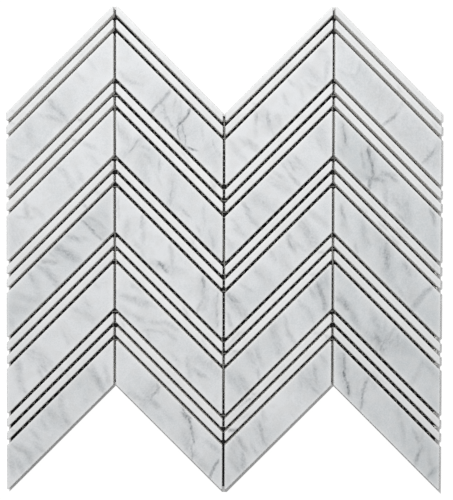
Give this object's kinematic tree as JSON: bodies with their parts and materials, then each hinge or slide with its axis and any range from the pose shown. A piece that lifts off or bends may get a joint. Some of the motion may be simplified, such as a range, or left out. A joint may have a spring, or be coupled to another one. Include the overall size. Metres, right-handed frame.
{
  "type": "chevron mosaic tile sheet",
  "caption": "Mesh-mounted marble mosaic sheet of mitred bars and thin strips laid in a chevron zigzag, with open grout joints and ends that nest into the next sheet.",
  "frame": {"origin": "centre of the sheet's outline, on the back of the net", "axes": "+Z out of the honed face, +Y along the columns towards the end with two peaks, +X across the columns"},
  "size_m": [0.3032, 0.3372, 0.01],
  "materials": {
    "marble": "honed",
    "glass_fibre_net": "open woven net"
  },
  "bodies": {
    "root": {"mesh_backing": "glass_fibre_net", "column_1_strips_1": "marble", "column_1_bar_1": "marble", "column_1_strips_2": "marble", "column_1_bar_2": "marble", "column_1_strips_3": "marble", "column_1_bar_3": "marble", "column_1_strips_4": "marble", "column_1_bar_4": "marble", "column_1_strips_5": "marble", "column_1_bar_5": "marble", "column_2_strips_1": "marble", "column_2_bar_1": "marble", "column_2_strips_2": "marble", "column_2_bar_2": "marble", "column_2_strips_3": "marble", "column_2_bar_3": "marble", "column_2_strips_4": "marble", "column_2_bar_4": "marble", "column_2_strips_5": "marble", "column_2_bar_5": "marble", "column_3_strips_1": "marble", "column_3_bar_1": "marble", "column_3_strips_2": "marble", "column_3_bar_2": "marble", "column_3_strips_3": "marble", "column_3_bar_3": "marble", "column_3_strips_4": "marble", "column_3_bar_4": "marble", "column_3_strips_5": "marble", "column_3_bar_5": "marble", "column_4_strips_1": "marble", "column_4_bar_1": "marble", "column_4_strips_2": "marble", "column_4_bar_2": "marble", "column_4_strips_3": "marble", "column_4_bar_3": "marble", "column_4_strips_4": "marble", "column_4_bar_4": "marble", "column_4_strips_5": "marble", "column_4_bar_5": "marble"}
  },
  "joints": []
}
